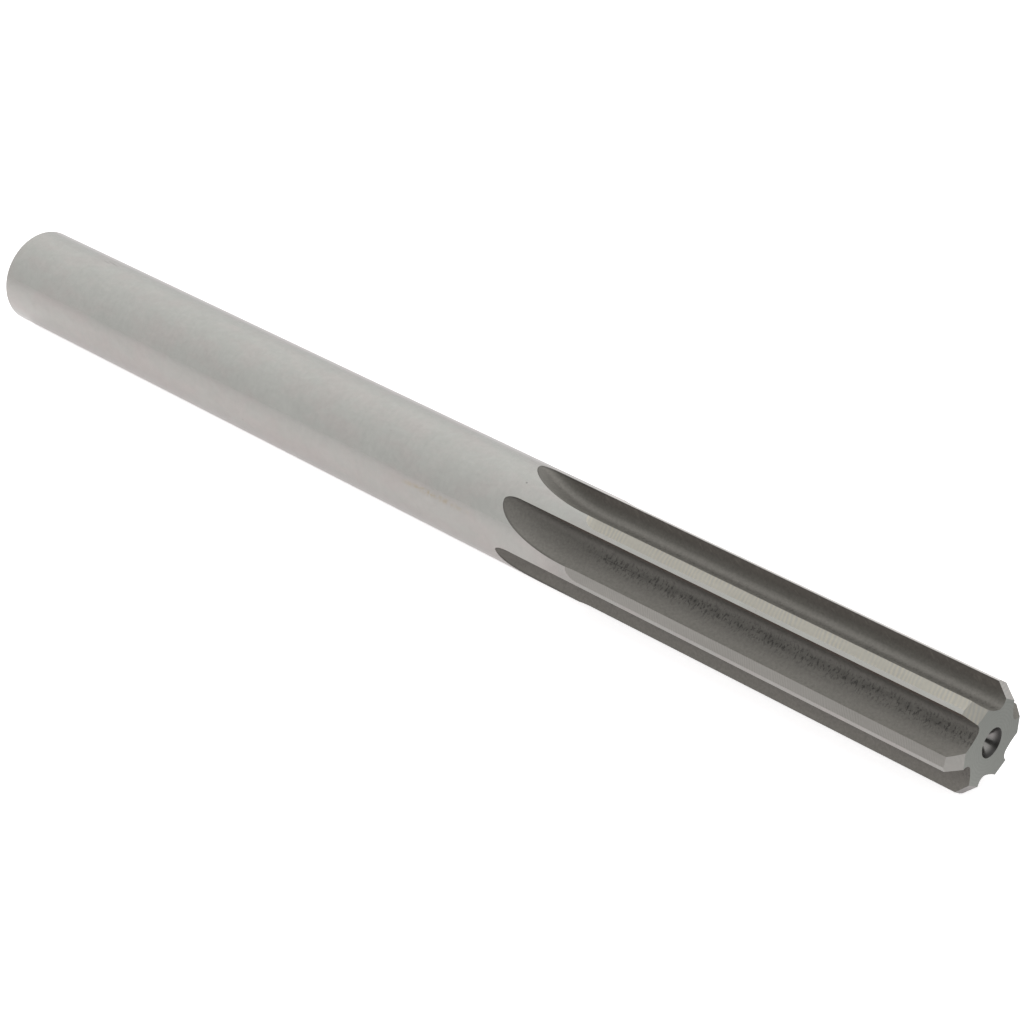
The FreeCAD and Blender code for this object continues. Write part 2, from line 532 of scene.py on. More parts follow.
    def relief_patch(self) -> Patch:
        """The flat relief, from the heel across to the margin, with its curved end.

        Each point is the flat's start plus its distance along the flat, lifted by the wheel.
        """
        land, counts = self.land, self.counts
        share = np.linspace(1.0, 0.0, counts.relief + 1)
        stations, to_bar, to_heel = self.relief_rows()
        distance = to_heel[0] * share
        flat = land.margin_edge + distance[:, None] * land.along_flat
        start = self.lead.station(flat[:, 0], flat[:, 1])
        down = np.linspace(0.0, 1.0, counts.straight_rows + 1)[:, None]
        straight = mix(start, np.full_like(start, land.full_length), down)
        straight_points = np.concatenate(
            [-straight[..., None], np.broadcast_to(flat, straight.shape + (2,))], axis=-1
        )
        end_distance = mix(to_bar[:, None], to_heel[:, None], share)
        end_flat = land.flat_start(stations)[:, None] + end_distance[..., None] * land.along_flat
        end_station = np.broadcast_to(stations[:, None], end_distance.shape)
        end_points = np.concatenate([-end_station[..., None], end_flat], axis=-1)
        points = np.concatenate([straight_points, end_points[1:]])
        across = np.concatenate([np.broadcast_to(distance, straight.shape), end_distance[1:]])
        return Patch(Surface.RELIEF, points, across)

    def ground_patch(self) -> Patch:
        """The cylindrically ground skin: the margin, which widens into the whole shank.

        Each point is (-station, radius cos angle, radius sin angle). The angles of a row run
        evenly from the surface's back edge to its leading edge, and those two edges follow the
        margin, the relief's curved end, the flutes' outlines and then the pitch.
        """
        land, flute, counts = self.land, self.flute, self.counts
        radius = self.bar.radius
        share = np.linspace(0.0, 1.0, counts.margin + 1)
        relief_stations, to_bar, _ = self.relief_rows()
        crease = land.flat_start(relief_stations) + to_bar[:, None] * land.along_flat
        gap = np.linspace(self.relief_end, flute.full_length, counts.gap_rows + 1)
        run_out, rake_side, heel_side = flute.run_out(counts.run_out_rows + 1)

        def rim_angle(distance: np.ndarray) -> np.ndarray:
            """Angle at which the run-out's outline lies, at each station."""
            y, z = flute.section(distance)
            return np.arctan2(z, flute.lifted(y, run_out))

        leading, trailing = rim_angle(rake_side), rim_angle(heel_side) - self.pitch
        shank = np.linspace(
            run_out[-1], self.bar.length - self.bar.edge_break, counts.shank_rows + 1
        )
        heel_angle = math.atan2(self.full_heel[1], self.full_heel[0])
        zones = [
            (relief_stations, np.arctan2(crease[:, 1], crease[:, 0]), 0.0 * relief_stations),
            (gap, np.full_like(gap, heel_angle), 0.0 * gap),
            (run_out, trailing, leading),
            (shank, np.full_like(shank, trailing[-1]), np.full_like(shank, leading[-1])),
        ]
        station, back, front = (
            np.concatenate([zone[i][1:] for zone in zones])[:, None] for i in range(3)
        )
        angle = mix(back, front, share)
        margin_angle = mix(-land.margin_angle, 0.0, share)
        lead_end = self.lead.station(radius * np.cos(margin_angle), radius * np.sin(margin_angle))
        down = np.linspace(0.0, 1.0, counts.straight_rows + 1)[:, None]
        straight = mix(lead_end, np.full_like(lead_end, land.full_length), down)
        station = np.concatenate([straight, np.broadcast_to(station, angle.shape)])
        angle = np.concatenate([np.broadcast_to(margin_angle, straight.shape), angle])
        points = np.stack([-station, radius * np.cos(angle), radius * np.sin(angle)], axis=-1)
        return Patch(Surface.GROUND, points, radius * angle)

    def lead_patch(self, relief: Patch, ground: Patch) -> Patch:
        """The lead's flat, as a blend between its four edges.

        The straight blend of the end face's edge and the crease against the land is corrected
        by how far the heel's edge bows from its own chord, which fades out across the flat.

        Args:
            relief: The tooth's relief, whose first row the flat meets.
            ground: The tooth's margin, whose first row the flat meets.

        Returns:
            The flat, from the end face back and from the heel to the cutting edge.
        """
        edge, heel = self.lead_rows()
        crease = np.concatenate([relief.points[0], ground.points[0, 1:]])
        steps = np.linalg.norm(np.diff(crease, axis=0), axis=1)
        share = np.concatenate([[0.0], np.cumsum(steps)]) / steps.sum()
        face_edge = mix(heel[0], edge[0], share[:, None])
        down = np.linspace(0.0, 1.0, self.counts.lead_rows + 1)[:, None]
        bow = heel - mix(heel[0], heel[-1], down)
        points = mix(face_edge[None], crease[None], down[..., None])
        points = points + bow[:, None] * (1.0 - share)[None, :, None]
        across = np.broadcast_to((1.0 - share) * steps.sum(), points.shape[:2])
        return Patch(Surface.LEAD, points, across)

    def patches(self) -> list[Patch]:
        """Every surface of the tooth, in its own frame."""
        relief, ground = self.relief_patch(), self.ground_patch()
        return [self.lead_patch(relief, ground), relief, ground, self.flute_patch()]


def weld(patches: list[Patch], name: str) -> bpy.types.Object:
    """Joins patches into one closed mesh object.

    Points that agree to the weld grid become one. A quad with two corners in one place becomes
    a triangle, and one with no area is dropped, as at a flute's tip. Edges between two surfaces
    are creased, and everything else is shaded smooth.

    Args:
        patches: The patches, whose shared edges have the same points.
        name: The object's name.

    Returns:
        The object, linked to the scene. It carries the map of its finishes, in metres, the
        distance in from each surface's sides, in millimetres, and the tooth's number.
    """
    points = np.concatenate([patch.points.reshape(-1, 3) for patch in patches])
    _, first, weld_index = np.unique(
        np.round(points / WELD_GRID).astype(np.int64), axis=0,
        return_index=True, return_inverse=True,
    )
    weld_index = weld_index.ravel()
    sizes = [patch.points.shape[0] * patch.points.shape[1] for patch in patches]
    starts = np.cumsum([0] + sizes[:-1])
    quads = np.concatenate([patch.quads() + start for patch, start in zip(patches, starts)])
    quad_counts = [len(patch.quads()) for patch in patches]
    surface = np.repeat([patch.surface.value for patch in patches], quad_counts)
    tooth = np.repeat([patch.tooth for patch in patches], quad_counts)
    corners = weld_index[quads]
    kept = corners != np.roll(corners, -1, axis=1)
    valid = kept.sum(axis=1) > 2
    kept, corners, source = kept[valid], corners[valid], quads[valid]
    totals = kept.sum(axis=1)
    loops = corners[kept]

    mesh = bpy.data.meshes.new(name)
    mesh.vertices.add(len(first))
    mesh.vertices.foreach_set("co", (points[first] * MM).astype(np.float32).ravel())
    mesh.loops.add(len(loops))
    mesh.loops.foreach_set("vertex_index", loops.astype(np.int32))
    mesh.polygons.add(len(totals))
    mesh.polygons.foreach_set("loop_start", np.concatenate([[0], np.cumsum(totals)[:-1]]))
    mesh.update(calc_edges=True)

    face_surface = surface[valid]
    edge_of_loop = np.zeros(len(loops), dtype=np.int32)
    mesh.loops.foreach_get("edge_index", edge_of_loop)
    lowest = np.full(len(mesh.edges), len(Surface))
    highest = np.full(len(mesh.edges), -1)
    loop_surface = np.repeat(face_surface, totals)
    np.minimum.at(lowest, edge_of_loop, loop_surface)
    np.maximum.at(highest, edge_of_loop, loop_surface)
    mesh.polygons.foreach_set("use_smooth", np.ones(len(totals), dtype=bool))
    mesh.edges.foreach_set("use_edge_sharp", lowest != highest)
    mesh.polygons.foreach_set("material_index", face_surface.astype(np.int32))

    across = np.concatenate([patch.across.ravel() for patch in patches])
    finish_map = np.stack([across, -points[:, 0]], axis=-1)[source[kept]] * MM
    mesh.uv_layers.new(name="finish").data.foreach_set("uv", finish_map.ravel())
    to_sides = [
        np.minimum(abs(patch.across - patch.across[:, :1]),
                   abs(patch.across[:, -1:] - patch.across))
        for patch in patches
    ]
    inset = np.concatenate([distance.ravel() for distance in to_sides])[source[kept]]
    side = mesh.attributes.new("inset", "FLOAT", "CORNER")
    side.data.foreach_set("value", inset.astype(np.float32))
    number = mesh.attributes.new("tooth", "FLOAT", "FACE")
    number.data.foreach_set("value", tooth[valid].astype(np.float32))

    uses = np.bincount(edge_of_loop, minlength=len(mesh.edges))
    log.info("%s: %d faces, %d open edges", name, len(totals), int((uses != 2).sum()))
    piece = bpy.data.objects.new(name, mesh)
    bpy.context.scene.collection.objects.link(piece)
    return piece


@dataclass(frozen=True)
class Reamer:
    """The whole tool: one ground bar with its teeth and a centre hole in each end."""

    bar: Bar
    centre_hole: CentreHole = CentreHole()
    counts: GridCounts = GridCounts()
    tooth_count: int = 6
    first_edge_angle: float = math.radians(8.9)

    def tooth(self) -> Tooth:
        """The form that every tooth has."""
        flute = Flute(self.bar)
        return Tooth(
            self.bar, flute, Land(self.bar, flute), Lead(self.bar),
            2 * math.pi / self.tooth_count, self.counts,
        )

    def teeth(self) -> list[list[Patch]]:
        """Every tooth's surfaces, each tooth turned to its place round the axis."""
        form = self.tooth()
        own_frame = form.patches()
        teeth = []
        for index in range(self.tooth_count):
            angle = self.first_edge_angle + index * form.pitch
            turned = []
            for patch in own_frame:
                y, z = turn(patch.points[..., 1], patch.points[..., 2], angle)
                points = np.stack([patch.points[..., 0], y, z], axis=-1)
                turned.append(Patch(patch.surface, points, patch.across, index + 1))
            teeth.append(turned)
        return teeth

    def ring(self, surface: Surface, outline: np.ndarray, angles: np.ndarray,
             x: np.ndarray) -> Patch:
        """A turned wall: each (x, radius) point carried round the axis at the given angles."""
        radius = outline[:, None]
        shape = np.broadcast_shapes(radius.shape, angles[None].shape)
        points = np.stack([
            np.broadcast_to(x[:, None], shape),
            radius * np.cos(angles),
            radius * np.sin(angles),
        ], axis=-1)
        return Patch(surface, points, np.broadcast_to(radius, shape))

    def hole(self, face_x: float, inward: int, angles: np.ndarray) -> list[Patch]:
        """A centre hole's walls, from the drill's point out to the mouth.

        Args:
            face_x: The end face's place on the axis.
            inward: 1 if the hole runs in along +X, and -1 if along -X.
            angles: Angles of the columns.

        Returns:
            The walls, in an order and a sense that run on along the skin.
        """
        walls = [
            self.ring(surface, wall[:, 1], angles, face_x + inward * wall[:, 0])
            for surface, wall in self.centre_hole.walls()
        ]
        if inward < 0:
            return walls
        return [
            Patch(wall.surface, wall.points[::-1], wall.across[::-1]) for wall in walls[::-1]
        ]

    def cutting_face(self, teeth: list[list[Patch]]) -> tuple[Patch, np.ndarray]:
        """The end face between the centre hole's mouth and the teeth's outline.

        Columns are straight. The mouth's points are spread as the outline's own length is, which
        keeps them from crossing where the outline turns in along a rake face.

        Args:
            teeth: Every tooth's surfaces, lead first and flute last.

        Returns:
            The face, and the angles of its columns at the mouth.
        """
        outline = np.concatenate([
            np.concatenate([tooth[0].points[0, :-1], tooth[-1].points[0, :-1]])
            for tooth in teeth
        ])
        outline = np.concatenate([outline, outline[:1]])
        steps = np.linalg.norm(np.diff(outline, axis=0), axis=1)
        spread = 2 * math.pi * np.concatenate([[0.0], np.cumsum(steps)]) / steps.sum()
        polar = np.unwrap(np.arctan2(outline[:, 2], outline[:, 1]))
        angles = spread + np.mean(polar - spread)
        mouth = self.centre_hole.mouth_radius * np.stack(
            [np.zeros_like(angles), np.cos(angles), np.sin(angles)], axis=-1
        )
        share = np.linspace(0.0, 1.0, self.counts.face_rows + 1)[:, None, None]
        points = mix(mouth[None], outline[None], share)
        across = np.hypot(points[..., 1], points[..., 2])
        return Patch(Surface.END_FACE, points, across), angles

    def shank_end(self, teeth: list[list[Patch]]) -> list[Patch]:
        """The edge break, the flat end and the centre hole at the shank's end."""
        rim = np.concatenate([tooth[2].points[-1, :-1] for tooth in teeth])
        rim = np.concatenate([rim, rim[:1]])
        angles = np.unwrap(np.arctan2(rim[:, 2], rim[:, 1]))
        bar, counts = self.bar, self.counts
        inner = bar.radius - bar.edge_break
        broken = np.linspace(0.0, 1.0, counts.break_rows + 1)
        flat = np.linspace(inner, self.centre_hole.mouth_radius, counts.face_rows + 1)
        return [
            self.ring(Surface.EDGE_BREAK, mix(bar.radius, inner, broken), angles,
                      mix(bar.edge_break, 0.0, broken) - bar.length),
            self.ring(Surface.END_FACE, flat, angles, np.full_like(flat, -bar.length)),
            *self.hole(-bar.length, 1, angles),
        ]

    def build(self) -> bpy.types.Object:
        """The tool's whole skin as one closed mesh, which stands for its solid."""
        teeth = self.teeth()
        face, angles = self.cutting_face(teeth)
        patches = self.hole(0.0, -1, angles) + [face]
        patches += [patch for tooth in teeth for patch in tooth]
        patches += self.shank_end(teeth)
        piece = weld(patches, "reamer_skin")
        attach(piece, "root")
        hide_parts("reamer")
        return piece

    def dress(self, piece: bpy.types.Object) -> None:
        """Gives the skin one material slot for each surface, in the surfaces' order."""
        worn = finishes(self.bar)
        made: dict[str, bpy.types.Material] = {}
        for surface in Surface:
            steel = worn[surface]
            if steel.name not in made:
                made[steel.name] = steel.material()
                log.info("finish %s", steel.name)
            piece.data.materials.append(made[steel.name])


# --- Shader building ---------------------------------------------------------------------------


@dataclass(frozen=True)
class Value:
    """A node's output socket, with arithmetic on numbers that adds Math nodes."""

    graph: "Graph"
    socket: bpy.types.NodeSocket

    def math(self, operation: str, *operands: "Value | float") -> "Value":
        """Adds one Math node on the operands, in their order."""
        return self.graph.node("ShaderNodeMath", {"operation": operation},
                               dict(enumerate(operands)))

    def __add__(self, other: "Value | float") -> "Value":
        """self + other."""
        return self.math("ADD", self, other)

    __radd__ = __add__

    def __sub__(self, other: "Value | float") -> "Value":
        """self - other."""
        return self.math("SUBTRACT", self, other)

    def __rsub__(self, other: float) -> "Value":
        """other - self."""
        return self.math("SUBTRACT", other, self)

    def __mul__(self, other: "Value | float") -> "Value":
        """self * other."""
        return self.math("MULTIPLY", self, other)

    __rmul__ = __mul__

    def __truediv__(self, other: "Value | float") -> "Value":
        """self / other."""
        return self.math("DIVIDE", self, other)

    def __rtruediv__(self, other: float) -> "Value":
        """other / self."""
        return self.math("DIVIDE", other, self)

    def __abs__(self) -> "Value":
        """Size of the value."""
        return self.math("ABSOLUTE", self)

    def length(self) -> "Value":
        """Length of a vector."""
        return self.graph.node("ShaderNodeVectorMath", {"operation": "LENGTH"}, {0: self},
                               output="Value")

    def within(self, low: float, high: float) -> "Value":
        """0 at low and beyond, 1 at high and beyond, eased between. Low may exceed high."""
        return self.graph.node(
            "ShaderNodeMapRange", {"interpolation_type": "SMOOTHSTEP"},
            {"Value": self, "From Min": low, "From Max": high},
        )


@dataclass(frozen=True)
class Mark:
    """A long soft mark on a surface, such as a stain or a score. Lengths are in millimetres."""

    centre: tuple[float, float]         # along the tool and across the surface
    half_size: tuple[float, float]      # half length and half width
    slant: float = 0.0                  # rise across for each millimetre along


class Graph:
    """The node tree of a material or of the world."""

    def __init__(self, tree: bpy.types.NodeTree) -> None:
        """Starts an empty graph.

        Args:
            tree: The tree, whose nodes are cleared.
        """
        self.tree = tree
        tree.nodes.clear()

    def node(self, kind: str, settings: dict[str, object] | None = None,
             inputs: dict[int | str, object] | None = None,
             output: int | str = 0) -> Value | None:
        """Adds one node.

        Args:
            kind: The node's type.
            settings: Its settings, set before its sockets. "stops" are a ramp's places and
                levels of grey, each held up to the next.
            inputs: Values or links of its sockets, by name or number.
            output: The output wanted.

        Returns:
            The wanted output, or None where the node ends the tree.
        """
        made = self.tree.nodes.new(kind)
        for name, setting in (settings or {}).items():
            if name != "stops":
                setattr(made, name, setting)
                continue
            made.color_ramp.interpolation = "CONSTANT"
            elements = made.color_ramp.elements
            while len(elements) < len(setting):
                elements.new(1.0)
            for element, (place, grey) in zip(elements, setting):
                element.position = place
                element.color = (grey, grey, grey, 1.0)
        for name, given in (inputs or {}).items():
            socket = made.inputs[name]
            if isinstance(given, Value):
                self.tree.links.new(given.socket, socket)
            elif socket.type == "RGBA":
                socket.default_value = (*given, 1.0)
            else:
                socket.default_value = given
        return Value(self, made.outputs[output]) if made.outputs else None

    def vector(self, operation: str, *operands: object) -> Value:
        """Adds one Vector Math node on the operands, in their order."""
        return self.node("ShaderNodeVectorMath", {"operation": operation},
                         dict(enumerate(operands)))

    def scaled(self, colour: object, factor: Value) -> Value:
        """A colour times a number."""
        return self.node("ShaderNodeVectorMath", {"operation": "SCALE"},
                         {0: colour, "Scale": factor})

    def blend(self, factor: Value, base: object, other: object) -> Value:
        """Base colour where the factor is 0, and the other where it is 1."""
        return self.node("ShaderNodeMix", {"data_type": "RGBA"},
                         {0: factor, 6: base, 7: other}, output=2)

    def parts(self, vector: Value) -> tuple[Value, Value, Value]:
        """The three components of a vector."""
        split = self.node("ShaderNodeSeparateXYZ", {}, {0: vector}).socket.node
        return tuple(Value(self, socket) for socket in split.outputs)

    def point(self, x: Value, y: Value) -> Value:
        """A vector from its first two components."""
        return self.node("ShaderNodeCombineXYZ", {}, {0: x, 1: y})

    @property
    def place(self) -> Value:
        """Place on the tool, in millimetres."""
        metres = self.node("ShaderNodeTexCoord", output="Object")
        return self.vector("MULTIPLY", metres, (1 / MM,) * 3)

    @property
    def finish_map(self) -> Value:
        """(Distance across the surface, station, 0), in millimetres."""
        metres = self.node("ShaderNodeUVMap", {"uv_map": "finish"})
        return self.vector("MULTIPLY", metres, (1 / MM,) * 3)

    @property
    def off_axis(self) -> Value:
        """Distance from the tool's axis, in millimetres."""
        _, y, z = self.parts(self.place)
        return self.point(y, z).length()

    def attribute(self, name: str) -> Value:
        """One of the mesh's own numbers, by its name."""
        return self.node("ShaderNodeAttribute", {"attribute_name": name}, output="Fac")

    def noise(self, where: Value, per_mm: float | tuple[float, float, float],
              detail: float = 2.0, roughness: float = 0.5, distortion: float = 0.0) -> Value:
        """Noise from 0 to 1.

        Args:
            where: The place to read it at, in millimetres.
            per_mm: Waves per millimetre, the same or one count for each axis.
            detail: How many finer layers it has.
            roughness: How strong the finer layers are.
            distortion: How far it is pulled about.

        Returns:
            The noise.
        """
        rates = per_mm if isinstance(per_mm, tuple) else (per_mm,) * 3
        return self.node(
            "ShaderNodeTexNoise", {"noise_dimensions": "3D"},
            {"Vector": self.vector("MULTIPLY", where, rates), "Scale": 1.0, "Detail": detail,
             "Roughness": roughness, "Distortion": distortion},
        )

    def by_tooth(self, *levels: float) -> Value:
        """One level for each tooth, from the first. What lies off the teeth has the first."""
        stops = [((index + 0.5) / RAMP_SLOTS, level) for index, level in enumerate(levels)]
        return self.node("ShaderNodeValToRGB", {"stops": stops},
                         {0: self.attribute("tooth") / RAMP_SLOTS})

    def mark(self, along: Value, across: Value, mark: Mark) -> Value:
        """Strength of a mark: 1 on its centre and 0 outside its ellipse.

        Args:
            along: Distance along the tool, in millimetres.
            across: Distance across the surface.
            mark: The mark's place and size in those two.

        Returns:
            The strength.
        """
        run = along - mark.centre[0]
        rise = across - mark.centre[1] - run * mark.slant
        spread = self.point(run / mark.half_size[0], rise / mark.half_size[1])
        return spread.length().within(1.0, 0.0)


# --- Finishes ----------------------------------------------------------------------------------


@dataclass(frozen=True)
class Look:
    """What a finish works out over its surface."""

    colour: Value
    roughness: Value
    height: Value           # micrometres


@dataclass(frozen=True)
class Steel:
    """Bare tool steel, which each finish colours and roughens in its own way."""

    name: str
    colour: tuple[float, float, float]
    roughness: float
    metallic: float = 1.0

    def look(self, graph: Graph) -> Look:
        """Colour, roughness and height over the surface, which each finish gives."""
        raise NotImplementedError

    def material(self) -> bpy.types.Material:
        """The finish as a material."""
        material = bpy.data.materials.new(self.name)
        material.use_nodes = True
        graph = Graph(material.node_tree)
        look = self.look(graph)
        bumps = graph.node("ShaderNodeBump", {}, {
            "Strength": 1.0, "Distance": MICROMETRE, "Height": look.height,
        })
        shader = graph.node("ShaderNodeBsdfPrincipled", {}, {
            "Base Color": look.colour, "Metallic": self.metallic,
            "Roughness": look.roughness, "Normal": bumps,
        })
        graph.node("ShaderNodeOutputMaterial", {}, {"Surface": shader})
        return material


@dataclass(frozen=True, kw_only=True)
class GroundSteel(Steel):
    """Cylindrically ground skin: fine lines round the axis, clouded stains, specks and scores, with
    painted light and shade that differ from tooth to tooth.

    Its marks lie at (x, distance round the bar from the side that faces -Y, over the top).
    """

    name: str = "ground_steel"
    colour: tuple[float, float, float] = (0.488, 0.490, 0.462)
    roughness: float = 0.20
    warm: tuple[float, float, float] = (0.500, 0.482, 0.458)
    straw: tuple[float, float, float] = (0.440, 0.395, 0.300)
    bar_radius: float
    straw_streak: Mark = Mark((-70.5, 1.35), (7.5, 0.55))
    scores: tuple[Mark, ...] = (
        Mark((-133.4, 10.55), (1.5, 0.10), -0.12),
        Mark((-134.2, 10.20), (0.8, 0.09), 0.05),
    )
    toothed: tuple[float, float] = (-56.0, -50.0)       # x over which shank gives way to teeth
    # painted light and shade: a level of lightness for each tooth's margin
    painted_light_levels: tuple[float, ...] = (1.0, 1.45, 0.97, 0.88, 0.85, 1.0)

    def look(self, graph: Graph) -> Look:
        """Colour, roughness and height over the surface."""
        place = graph.place
        x, y, z = graph.parts(place)
        round_bar = self.bar_radius * z.math("ARCTAN2", z, -1.0 * y)
        lines = graph.noise(place, (5.0, 0.15, 0.15), 3.0, 0.6)
        grain = graph.noise(place, 1.6, 3.0, 0.6)
        clouds = graph.noise(place, (0.16, 0.30, 0.30), 4.0, 0.62)
        mottle = graph.noise(place, (0.55, 0.70, 0.70), 4.0, 0.62, 0.6)
        tint = graph.noise(place, (0.18, 0.32, 0.32), 4.0, 0.65).within(0.38, 0.66)
        specks = graph.noise(place, 1.3, 1.0).within(0.80, 0.84)
        straw = graph.mark(x, round_bar, self.straw_streak) * grain.within(0.38, 0.60)
        scores = sum(graph.mark(x, round_bar, score) for score in self.scores)
        on_tooth = x.within(*self.toothed)
        # Painted light and shade: each tooth's margin is lightened or darkened by its own level.
        worn = 1.0 - on_tooth * (1.0 - graph.by_tooth(*self.painted_light_levels))
        shade = (0.80 + 0.05 * lines + 0.12 * grain + 0.10 * clouds + 0.12 * mottle) * worn
        shade = shade * (1.0 - 0.35 * specks) * (1.0 - 0.45 * scores)
        colour = graph.blend(tint, self.colour, self.warm)
        colour = graph.blend(straw, colour, self.straw)
        return Look(graph.scaled(colour, shade), self.roughness * (0.75 + 0.5 * clouds),
                    0.5 * lines + 1.2 * grain + 9.0 * clouds + 16.0 * mottle - 6.0 * scores)


@dataclass(frozen=True)
class FluteSteel(Steel):
    """Flute surface: dark and matt, brown under its cutting edge, pitted along its middle, with
    painted light and shade.
    """

    name: str = "flute_steel"
    colour: tuple[float, float, float] = (0.168, 0.161, 0.145)
    roughness: float = 0.60
    metallic: float = 0.6
    brown: tuple[float, float, float] = (0.128, 0.092, 0.074)
    pit_line: float = 3.3       # distance of the pits' own line from the cutting edge
    score: Mark = Mark((45.5, 3.38), (6.0, 0.07))       # station, distance from cutting edge
    hatch_lean: float = 0.6
    brown_levels: tuple[float, ...] = (0.0, 0.35, 1.0, 1.0, 1.0, 1.0)
    pitted_levels: tuple[float, ...] = (0.3, 0.55, 1.0, 0.5, 0.7, 0.4)
    # Painted light and shade: a level for each tooth's flute, and painted shade under tooth 2's
    # cutting edge.
    painted_flute_light_levels: tuple[float, ...] = (1.25, 1.2, 1.0, 1.1, 1.0, 1.0)
    painted_edge_shade_levels: tuple[float, ...] = (0.0, 0.3, 0.0, 0.0, 0.0, 0.0)

    def look(self, graph: Graph) -> Look:
        """Colour, roughness and height over the surface."""
        place, finish_map = graph.place, graph.finish_map
        across, station, _ = graph.parts(finish_map)
        inset = graph.attribute("inset")
        grain = graph.noise(place, 3.2, 4.0, 0.7)
        clouds = graph.noise(place, (0.12, 0.5, 0.5), 3.0)
        under_edge = across.within(1.7, 0.3) * graph.by_tooth(*self.brown_levels)
        on_rake = across.within(1.1, 0.7)
        strokes = graph.noise(finish_map, (2.2, 4.0, 1.0), 3.0, 0.6, 0.5)
        near_line = abs(across - self.pit_line).within(1.5, 0.0)
        on_line = abs(across - self.pit_line).within(0.7, 0.1)
        pitted = graph.by_tooth(*self.pitted_levels) * station.within(54.0, 44.0)
        pits = strokes.within(0.53, 0.61) * near_line * pitted
        seam = on_line * graph.noise(finish_map, (0.6, 0.35, 1.0), 3.0).within(0.36, 0.60) * pitted
        score = graph.mark(station, across, self.score) * pitted
        slanted = graph.point(across + self.hatch_lean * station,
                              station - self.hatch_lean * across)
        hatch = graph.noise(slanted, (3.4, 0.5, 1.0), 2.0, 0.6).within(0.52, 0.70) * on_rake
        # Painted shade: darker along the flute's rim where it runs out near its tip.
        rim = inset.within(0.35, 0.0) * station.within(50.0, 54.0)
        # Painted light: lighter towards the far flank of the hollow back.
        painted_flank_light = across.within(3.9, 5.8)
        # Painted shade under tooth 2's cutting edge, and each flute's own level of painted light.
        painted_edge_shade = across.within(1.7, 0.8) * graph.by_tooth(*self.painted_edge_shade_levels)
        lit = graph.by_tooth(*self.painted_flute_light_levels) * (1.0 - painted_edge_shade)
        shade = (0.56 + 0.76 * grain + 0.12 * clouds) * (1.0 - 0.52 * pits) * lit
        shade = shade * (1.0 - 0.22 * seam) * (1.0 - 0.45 * score) * (1.0 - 0.35 * rim)
        shade = shade * (1.0 + 0.25 * hatch) * (1.0 + 0.24 * painted_flank_light)
        colour = graph.blend(0.8 * under_edge, self.colour, self.brown)
        return Look(graph.scaled(colour, shade), self.roughness * (0.9 + 0.2 * grain),
                    5.0 * grain - 14.0 * pits - 10.0 * score)


@dataclass(frozen=True)
class CrossGroundSteel(Steel):
    """Surface ground across the land, which leaves slanting stripes, with painted light and shade
    that differ from tooth to tooth.
    """

    name: str = "relief_steel"
    colour: tuple[float, float, float] = (0.430, 0.425, 0.395)
    roughness: float = 0.30
    straw: tuple[float, float, float] = (0.450, 0.420, 0.345)
    pitch: float = 0.47
    slant: float = 0.30         # lean of the stripes, along for each millimetre across
    # For each tooth: stripes to a pitch, painted light and shade, and share of straw.
    fineness: tuple[float, ...] = (1.0, 1.2, 1.0, 1.45, 1.2, 1.0)
    painted_light_levels: tuple[float, ...] = (0.90, 1.20, 0.86, 0.72, 0.50, 0.92)
    straw_levels: tuple[float, ...] = (0.5, 0.3, 1.0, 0.1, 0.4, 0.8)

    def look(self, graph: Graph) -> Look:
        """Colour, roughness and height over the surface."""
        place = graph.place
        across, station, _ = graph.parts(graph.finish_map)
        wander = graph.noise(place, 0.35, 2.0)
        lines = (station - self.slant * across + 0.9 * wander) * (2 * math.pi / self.pitch)
        strength = graph.noise(place, 0.45, 2.0).within(0.30, 0.62)
        lines = lines * graph.by_tooth(*self.fineness)
        stripes = lines.math("SINE", lines) * strength
        grain = graph.noise(place, 2.5, 3.0, 0.6)
        clouds = graph.noise(place, (0.15, 0.9, 0.9), 3.0)
        rear = station.within(4.0, 44.0)
        shade = (0.84 + 0.14 * grain + 0.18 * clouds + 0.075 * stripes) * (0.95 + 0.10 * rear)
        # Painted light and shade: each tooth's relief or lead is lightened or darkened by its own
        # level.
        shade = shade * graph.by_tooth(*self.painted_light_levels)
        straw = graph.by_tooth(*self.straw_levels) * (0.45 + 0.35 * stripes)
        colour = graph.blend(straw, self.colour, self.straw)
        return Look(graph.scaled(colour, shade), self.roughness * (0.85 + 0.3 * grain),
                    0.5 * stripes + 0.8 * grain)


@dataclass(frozen=True)
class FaceSteel(Steel):
    """Turned end face, with faint rings left by the tool."""

    name: str = "face_steel"
    colour: tuple[float, float, float] = (0.190, 0.204, 0.184)
    roughness: float = 0.38
    ring_pitch: float = 0.35

    def look(self, graph: Graph) -> Look:
        """Colour, roughness and height over the surface."""
        place = graph.place
        wave = (graph.off_axis + 0.3 * graph.noise(place, 0.8)) * (
            2 * math.pi / self.ring_pitch
        )
        rings = wave.math("SINE", wave)
        grain = graph.noise(place, 2.0, 4.0, 0.65)
        shade = 0.84 + 0.32 * grain + 0.035 * rings
        return Look(graph.scaled(self.colour, shade), self.roughness * (0.85 + 0.3 * grain),
                    0.6 * rings + 1.5 * grain)


